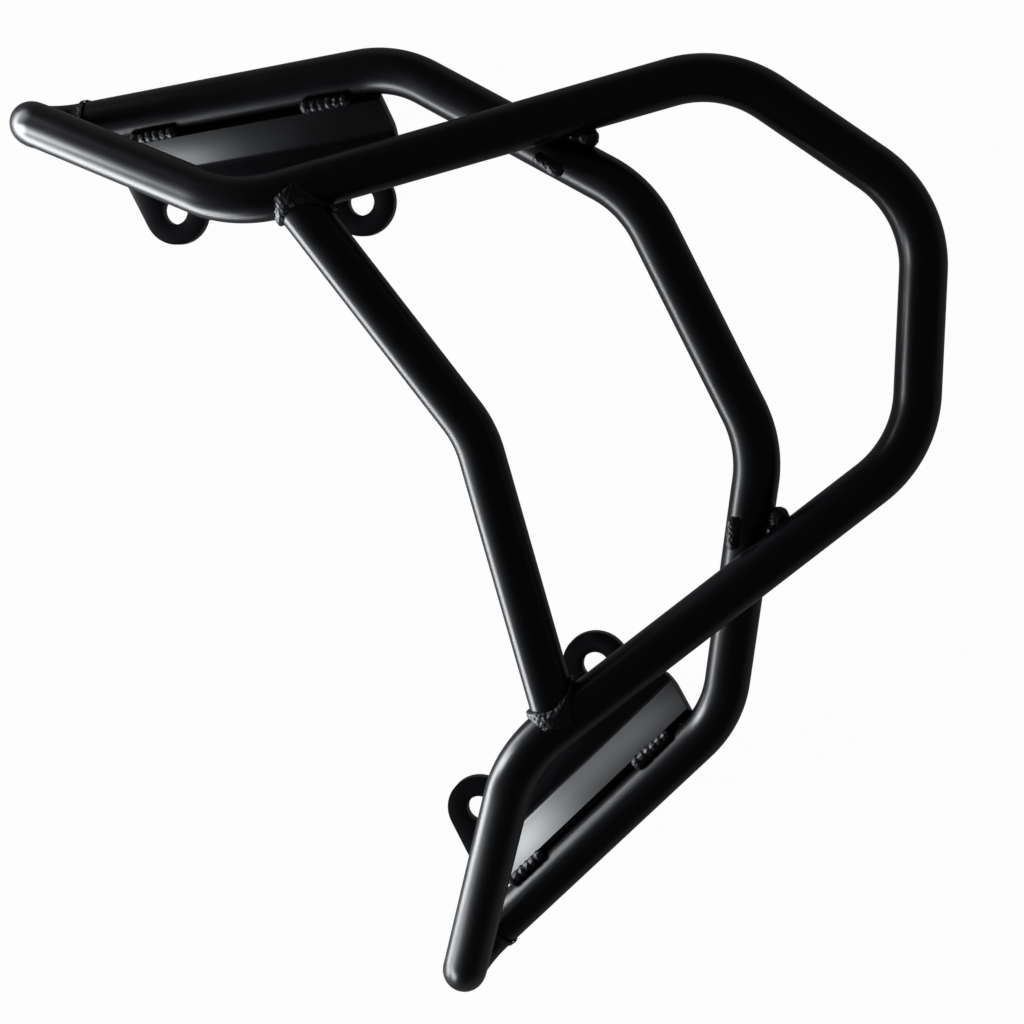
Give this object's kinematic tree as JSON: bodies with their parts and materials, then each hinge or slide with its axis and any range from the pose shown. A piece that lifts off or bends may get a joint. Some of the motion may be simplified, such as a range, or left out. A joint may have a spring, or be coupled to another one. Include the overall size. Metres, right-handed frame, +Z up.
{
  "type": "motorcycle luggage rack",
  "caption": "Welded round-tube rear luggage rack: a pointed carrying hoop over a lower loop, with a cross tube and folded mounting brackets.",
  "frame": {"origin": "middle of the line through the two front mounting holes, at the underside of the brackets", "axes": "+X to the rider's left, +Y to the rear of the motorcycle, +Z up along the mounting bolts"},
  "size_m": [0.3622, 0.2781, 0.0672],
  "materials": {
    "paint": "gloss",
    "weld": "satin"
  },
  "bodies": {
    "root": {"hoop_tube": "paint", "lower_tube": "paint", "cross_tube": "paint", "left_bracket": "paint", "right_bracket": "paint", "left_tip_bead": "weld", "right_tip_bead": "weld", "left_cross_bead": "weld", "right_cross_bead": "weld", "left_crossing_bead_rear": "weld", "right_crossing_bead_rear": "weld", "left_crossing_bead_inner": "weld", "right_crossing_bead_inner": "weld", "left_bracket_bead_front": "weld", "right_bracket_bead_front": "weld", "left_bracket_bead_rear": "weld", "right_bracket_bead_rear": "weld"}
  },
  "joints": []
}
